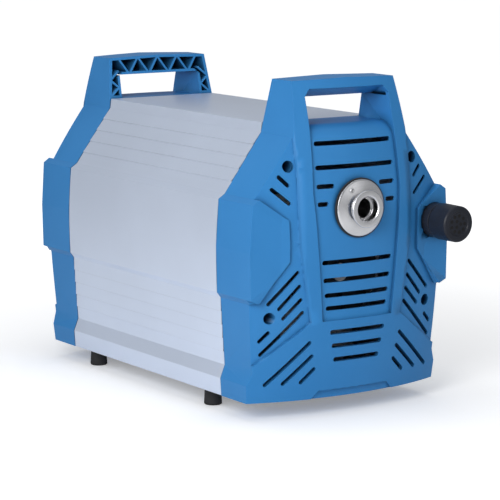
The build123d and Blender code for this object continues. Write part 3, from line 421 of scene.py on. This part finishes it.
def casting(colours):
    """Sand-cast aluminium with a coarse grain."""
    return finish(
        "cast_alloy", colours.casting, shade(colours.casting, 1.15),
        metallic=0.8, rough=0.5, fine=700, cloud=25, bump=0.35, edge=0.0008,
    )


def plain_steel(colours):
    """Zinc-plated steel sheet and shafts."""
    return finish(
        "plain_steel", shade(colours.steel, 0.75), shade(colours.steel, 0.85),
        metallic=0.9, rough=0.32, fine=1500, cloud=14, bump=0.08, edge=0.0004,
    )


def winding_copper(colours):
    """Varnished copper winding: fine wires running round the motor."""
    return finish(
        "winding_copper", colours.copper, shade(colours.copper, 1.3),
        metallic=0.7, rough=0.35, fine=1300, cloud=60, bump=0.6, edge=0.0005,
    )


def white_hose(colours):
    """Milky fluoropolymer hose."""
    return finish(
        "white_hose", colours.hose, shade(colours.hose, 1.1),
        metallic=0.0, rough=0.3, fine=500, cloud=12, bump=0.05, edge=0.0005,
    )


def dress(piece, material):
    """Give a piece one material in all its slots."""
    if not piece.data.materials:
        piece.data.materials.append(material)
    for slot in piece.material_slots:
        slot.material = material


# ---------------------------------------------------------------- pieces


class PUMP_OT_hood(bpy.types.Operator):
    """Fold the aluminium hood with its shiplap flanks."""

    bl_idname = "pump.hood"
    bl_label = "Hood"

    def execute(self, context):
        sizes = context.scene.pump_sizes
        low, high = HOOD_LOW, HOOD_HIGH
        floor, crown = low[2], high[2]
        neck, shoulder, step_top = [(x, crown - drop) for x, drop in (NECK, SHOULDER, STEP_TOP)]
        step_low, step_in, waist, flare = [
            (x, floor + rise) for x, rise in (STEP_LOW, STEP_IN, WAIST, FLARE)
        ]
        bottom, lip = (BOTTOM_EDGE, floor), (LIP_EDGE, floor)

        def boards(start, end):
            """Boards from start to end: each one leans out by the step at its foot, then drops back."""
            start, end = np.array(start), np.array(end)
            along = (end - start) / sizes.board_count
            out = np.array([-along[1], along[0]]) / np.linalg.norm(along) * sizes.board_step
            heads = start + along * np.arange(sizes.board_count)[:, None]
            feet = heads + along + out
            pairs = np.stack([heads, feet], axis=1).reshape(-1, 2)
            return pairs[:-1]

        bow = np.linspace(0, 1, SIDE_STEPS)[1:-1, None]
        flat = np.array(step_top) * (1 - bow) + np.array(step_low) * bow
        flat[:, 0] += SIDE_BOW * np.sin(np.pi * bow[:, 0])
        right = np.vstack([
            [(CROWN_EDGE, crown)], boards(neck, shoulder), [shoulder], [step_top], flat, [step_low],
            boards(step_in, waist), [waist], [flare], [bottom], [lip],
        ])
        left = right[::-1] * (-1, 1)
        outline = rounded(np.vstack([left, right]), sizes.fold_radius, 5)
        slope = np.gradient(outline, axis=0)
        inward = np.stack([slope[:, 1], -slope[:, 0]], axis=1)
        inward /= np.linalg.norm(inward, axis=1)[:, None]
        if (inward[len(inward) // 2 - 1] * (0, 1)).sum() > 0:
            inward = -inward
        section = np.vstack([outline, (outline + inward * sizes.hood_wall)[::-1]])
        rows = np.linspace(low[1] + sizes.front_gap, high[1] - sizes.rear_gap, ROW_COUNT)
        points = np.zeros((len(section), len(rows), 3))
        points[..., 0] = section[:, :1]
        points[..., 1] = rows
        points[..., 2] = section[:, 1:]
        skin = grid_faces(len(section), len(rows), wrap_rows=True).reshape(-1, 4)
        count = len(outline)
        outer = np.arange(count - 1)
        inner = 2 * count - 1 - outer
        ring = np.stack([outer, outer + 1, inner - 1, inner], axis=-1) * len(rows)
        ends = np.vstack([ring, ring + len(rows) - 1])
        hood = mesh_object("hood_shell", points, np.vstack([skin, ends]), HOOD_SHARP)
        dress(hood, hood_lacquer(context.scene.pump_colours))
        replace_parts(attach(hood, "casing"), "hood")
        return {"FINISHED"}


class PUMP_OT_inlet(bpy.types.Operator):
    """Turn the inlet's dished disc, hub and small flange, with its lock screw."""

    bl_idname = "pump.inlet"
    bl_label = "Inlet"

    def execute(self, context):
        sizes, colours = context.scene.pump_sizes, context.scene.pump_colours
        centre = (0, 0, (PORT_LOW[2] + PORT_HIGH[2]) / 2)
        front, back, seat = PORT_LOW[1], PORT_HIGH[1], SEAL_LOW[1]
        disc, bore = (PORT_HIGH[0] - PORT_LOW[0]) / 2, sizes.port_bore
        flange, hub = sizes.flange_radius, bore + HUB_WALL
        ledge = bore - PORT_STEP
        outline = [
            (back, ledge), (front + PORT_STEP_DEPTH, ledge), (front + PORT_STEP_DEPTH, bore),
            (front + 0.0012, bore), (front, bore + 0.0012), (front, flange - 0.0006),
            (front + 0.0006, flange), (front + FLANGE_THICK, flange), (front + FLANGE_NECK, hub),
            (front + DISH_START, hub + 0.0004), (seat - DISC_THICK - 0.001, disc - DISC_BEVEL),
            (seat - DISC_THICK, disc),
            (seat, disc), (seat, hub + 0.0002), (back, hub),
        ]
        port = turned_piece("inlet_turned", outline, centre, sizes.turn_steps, TURNED_EDGE)
        dress(port, turned_steel(colours))
        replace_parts(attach(port, "casing"), "inlet_port")
        angle = math.radians(SCREW_ANGLE)
        place = (SCREW_REACH * math.cos(angle), 0, centre[2] + SCREW_REACH * math.sin(angle))
        head = seat - SCREW_RISE
        screw = turned_piece(
            "lock_screw",
            [(head + 0.0012, 0), (head + 0.0012, 0.0009), (head, SOCKET_RADIUS), (head, 0.0019),
             (head + 0.0006, SCREW_RADIUS), (seat - SCREW_SINK, SCREW_RADIUS), (seat - SCREW_SINK, 0)],
            place, 32, 0.0002,
        )
        dress(screw, plain_steel(colours))
        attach(screw, "casing")
        dress(frame["nodes"]["inlet_seal"], rubber(colours))
        return {"FINISHED"}


class PUMP_OT_silencer(bpy.types.Operator):
    """Turn the outlet silencer: neck, cap with chamfered rim, and near-black discs in its face as
    painted shade for the vents.
    """

    bl_idname = "pump.silencer"
    bl_label = "Silencer"

    def execute(self, context):
        sizes, colours = context.scene.pump_sizes, context.scene.pump_colours
        black = black_plastic(colours)
        middle = ((CAP_LOW[0] + CAP_HIGH[0]) / 2, 0, (CAP_LOW[2] + CAP_HIGH[2]) / 2)
        radius, front, joint = (CAP_HIGH[0] - CAP_LOW[0]) / 2, CAP_LOW[1], CAP_HIGH[1]
        neck = (BODY_HIGH[0] - BODY_LOW[0]) / 2
        seat = joint + NECK_LENGTH
        face, stem_end = front + FACE_SINK, seat + STEM_LENGTH
        cap = turned_piece(
            "silencer_turned_cap",
            [(face, 0), (face, FACE_RADIUS), (front, FACE_RIM), (front, radius - CAP_BEVEL),
             (front + CAP_BEVEL, radius - 0.0002), (joint - CAP_BEVEL, radius),
             (joint - 0.0006, radius - RIM_DROP), (joint, radius - RIM_DROP), (joint, 0)],
            middle, sizes.turn_steps, TURNED_EDGE,
        )
        dress(cap, black)
        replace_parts(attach(cap, "casing"), "silencer_cap")
        body = turned_piece(
            "silencer_turned_neck",
            [(joint, STEM_BORE), (joint, neck - 0.0016), (joint + 0.0008, neck - 0.0016),
             (joint + 0.0014, neck), (seat - 0.0008, neck), (seat, neck - 0.0008),
             (seat, STEM_RADIUS), (stem_end, STEM_RADIUS), (stem_end, STEM_BORE)],
            middle, sizes.turn_steps, TURNED_EDGE,
        )
        dress(body, black)
        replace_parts(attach(body, "casing"), "silencer_body")
        # painted shade: near-black discs just proud of the sunk face take the place of the vent holes
        # and the shade inside them
        painted_shade = finish(
            "vent_painted_shade", (0.003, 0.003, 0.004), (0.006, 0.006, 0.007),
            metallic=0.0, rough=0.9, fine=900, cloud=20, bump=0.1, edge=0.0002,
        )
        for number, (count, ring) in enumerate(VENT_RINGS):
            for turn in range(count):
                angle = 2 * math.pi * turn / count
                spot = (middle[0] + ring * math.cos(angle), 0, middle[2] + ring * math.sin(angle))
                vent = turned_piece(
                    f"vent_{number}_{turn}",
                    [(face - VENT_LIFT, 0), (face - VENT_LIFT, sizes.vent_radius), (front + 0.002, 0)],
                    spot, 20, 0.00005,
                )
                dress(vent, painted_shade)
                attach(vent, "casing")
        return {"FINISHED"}


class PUMP_OT_feet(bpy.types.Operator):
    """Turn the four rubber feet with a flared sole, a recess underneath and a hole for a screw."""

    bl_idname = "pump.feet"
    bl_label = "Feet"

    def execute(self, context):
        colours = context.scene.pump_colours
        radius, top = FOOT_RADIUS, FEET_HIGH[2]
        spots = [
            (x, y) for x in (FEET_LOW[0] + radius, FEET_HIGH[0] - radius)
            for y in (FEET_LOW[1] + radius, FEET_HIGH[1] - radius)
        ]
        slim = radius - FOOT_TAPER
        outline = [
            (0.0, 0.0062), (0.0, radius - 0.0012), (0.0012, radius), (0.007, radius - 0.0003),
            (top - 0.003, slim), (top, slim), (top, FOOT_HOLE), (RECESS_TOP, FOOT_HOLE),
            (RECESS_TOP, FOOT_RECESS), (0.002, FOOT_RECESS + 0.0004),
        ]
        made = []
        for number, (x, y) in enumerate(spots):
            foot = turned_piece(f"foot_{number}", outline, (x, y, 0), 64, 0.0008, axis="Z")
            dress(foot, rubber(colours))
            made.append(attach(foot, "casing"))
        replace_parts(made[0], "rubber_feet")
        return {"FINISHED"}


class PUMP_OT_covers(bpy.types.Operator):
    """Finish both moulded covers: welded mesh, smooth bulge and sharp edges in blue plastic."""

    bl_idname = "pump.covers"
    bl_label = "Covers"

    def execute(self, context):
        for name in ("front_cover", "rear_cover"):
            node = frame["nodes"][name]
            mesh = node.data.copy()
            mesh.transform(node.matrix_world)
            work = bmesh.new()
            work.from_mesh(mesh)
            bmesh.ops.remove_doubles(work, verts=work.verts, dist=1e-6)
            work.to_mesh(mesh)
            work.free()
            mesh.shade_smooth()
            mesh.set_sharp_from_angle(angle=math.radians(COVER_SHARP))
            cover = bpy.data.objects.new(f"{name}_moulding", mesh)
            context.scene.collection.objects.link(cover)
            dress(cover, blue_plastic(context.scene.pump_colours))
            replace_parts(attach(cover, "casing"), name)
        return {"FINISHED"}


class PUMP_OT_insides(bpy.types.Operator):
    """Give the motor, pump heads, pipes and fasteners their finishes."""

    bl_idname = "pump.insides"
    bl_label = "Insides"

    def execute(self, context):
        colours = context.scene.pump_colours
        by_slot = {
            "cast_aluminium": casting(colours),
            "zinc_steel": plain_steel(colours),
            "stainless": plain_steel(colours),
            "core_steel": plain_steel(colours),
            "copper": winding_copper(colours),
            "fluor_hose": white_hose(colours),
            "black_rubber": rubber(colours),
            "black_plastic": black_plastic(colours),
        }
        for part in frame["record"]["subparts"]:
            slot = part["material_slot"]
            if slot in by_slot:
                dress(frame["nodes"][part["node"]], by_slot[slot])
        return {"FINISHED"}


# ---------------------------------------------------------------- stage


class PUMP_OT_stage(bpy.types.Operator):
    """Set out the floor, the lamps, the world and the camera."""

    bl_idname = "pump.stage"
    bl_label = "Stage"

    def execute(self, context):
        colours = context.scene.pump_colours
        floor_mesh = bpy.data.meshes.new("floor")
        corners = [(-1, -1), (1, -1), (1, 1), (-1, 1)]
        floor_mesh.from_pydata(
            [(x * FLOOR_REACH, y * FLOOR_REACH, 0) for x, y in corners], [], [(0, 1, 2, 3)]
        )
        floor = bpy.data.objects.new("floor", floor_mesh)
        context.scene.collection.objects.link(floor)
        material = bpy.data.materials.new("floor_paper")
        material.use_nodes = True
        nodes, links = material.node_tree.nodes, material.node_tree.links
        paper = nodes["Principled BSDF"]
        paper.inputs["Base Color"].default_value = (*colours.floor, 1)
        paper.inputs["Roughness"].default_value = 0.9
        paper.inputs["Specular IOR Level"].default_value = 0.0
        paper.inputs["Emission Color"].default_value = (1, 1, 1, 1)
        # painted light: a camera-only glow on the floor, weaker near the pump and stronger further out
        path = nodes.new("ShaderNodeLightPath")
        place = nodes.new("ShaderNodeTexCoord")
        away = nodes.new("ShaderNodeVectorMath")
        away.operation = "LENGTH"
        paler = nodes.new("ShaderNodeMapRange")
        paler.inputs["From Min"].default_value = GLOW_REACH[0]
        paler.inputs["From Max"].default_value = GLOW_REACH[1]
        paler.inputs["To Min"].default_value = GLOW_RANGE[0]
        paler.inputs["To Max"].default_value = GLOW_RANGE[1]
        lift = nodes.new("ShaderNodeMath")
        lift.operation = "MULTIPLY"
        links.new(place.outputs["Object"], away.inputs[0])
        links.new(away.outputs["Value"], paler.inputs["Value"])
        links.new(paler.outputs["Result"], lift.inputs[1])
        links.new(path.outputs["Is Camera Ray"], lift.inputs[0])
        links.new(lift.outputs["Value"], paper.inputs["Emission Strength"])
        floor_mesh.materials.append(material)

        world = bpy.data.worlds.new("studio")
        context.scene.world = world
        world.use_nodes = True
        nodes, links = world.node_tree.nodes, world.node_tree.links
        sky = nodes["Background"]
        sky.inputs["Color"].default_value = (0.95, 0.97, 1.0, 1)
        path = nodes.new("ShaderNodeLightPath")
        seen = nodes.new("ShaderNodeMath")
        seen.operation = "MAXIMUM"
        strength = nodes.new("ShaderNodeMapRange")
        strength.inputs["To Min"].default_value = WORLD_LIGHT
        strength.inputs["To Max"].default_value = WORLD_SEEN
        links.new(path.outputs["Is Camera Ray"], seen.inputs[0])
        links.new(path.outputs["Is Transmission Ray"], seen.inputs[1])
        links.new(seen.outputs["Value"], strength.inputs["Value"])
        links.new(strength.outputs["Result"], sky.inputs["Strength"])

        for name, place, size, power in LAMPS:
            lamp = bpy.data.lights.new(name, "AREA")
            lamp.energy = power
            lamp.size = size
            light = bpy.data.objects.new(name, lamp)
            context.scene.collection.objects.link(light)
            light.location = place
            aim = Vector(LAMP_AIM) - Vector(place)
            light.rotation_euler = aim.to_track_quat("-Z", "Y").to_euler()

        lens = bpy.data.cameras.new("camera")
        lens.lens, lens.sensor_width = CAMERA_LENS, SENSOR_WIDTH
        lens.clip_start, lens.clip_end = 0.1, 60.0
        camera = bpy.data.objects.new("camera", lens)
        context.scene.collection.objects.link(camera)
        camera.location = CAMERA_PLACE
        aim = Vector(CAMERA_AIM) - camera.location
        camera.rotation_euler = aim.to_track_quat("-Z", "Y").to_euler()
        context.scene.camera = camera
        context.scene.view_settings.view_transform = "Standard"
        return {"FINISHED"}


STEPS = (
    PUMP_OT_hood, PUMP_OT_insides, PUMP_OT_covers, PUMP_OT_inlet, PUMP_OT_silencer, PUMP_OT_feet,
    PUMP_OT_stage,
)


class PUMP_PT_panel(bpy.types.Panel):
    """Sidebar panel that lists the pieces and their settings."""

    bl_idname = "PUMP_PT_panel"
    bl_label = "Diaphragm Pump"
    bl_space_type = "VIEW_3D"
    bl_region_type = "UI"
    bl_category = "Pump"

    def draw(self, context):
        for step in STEPS:
            self.layout.operator(step.bl_idname)
        for group in (context.scene.pump_sizes, context.scene.pump_colours):
            box = self.layout.box()
            for name in group.__annotations__:
                box.prop(group, name)


CLASSES = (PumpSizes, PumpColours, *STEPS, PUMP_PT_panel)


def register():
    """Register the classes and hang the settings on the scene."""
    for cls in CLASSES:
        bpy.utils.register_class(cls)
    bpy.types.Scene.pump_sizes = PointerProperty(type=PumpSizes)
    bpy.types.Scene.pump_colours = PointerProperty(type=PumpColours)


def unregister():
    """Take the settings and classes away again."""
    del bpy.types.Scene.pump_colours
    del bpy.types.Scene.pump_sizes
    for cls in reversed(CLASSES):
        bpy.utils.unregister_class(cls)


def main():
    """Make every piece in order."""
    register()
    for step in STEPS:
        area, name = step.bl_idname.split(".")
        getattr(getattr(bpy.ops, area), name)()


if __name__ == "__main__":
    main()
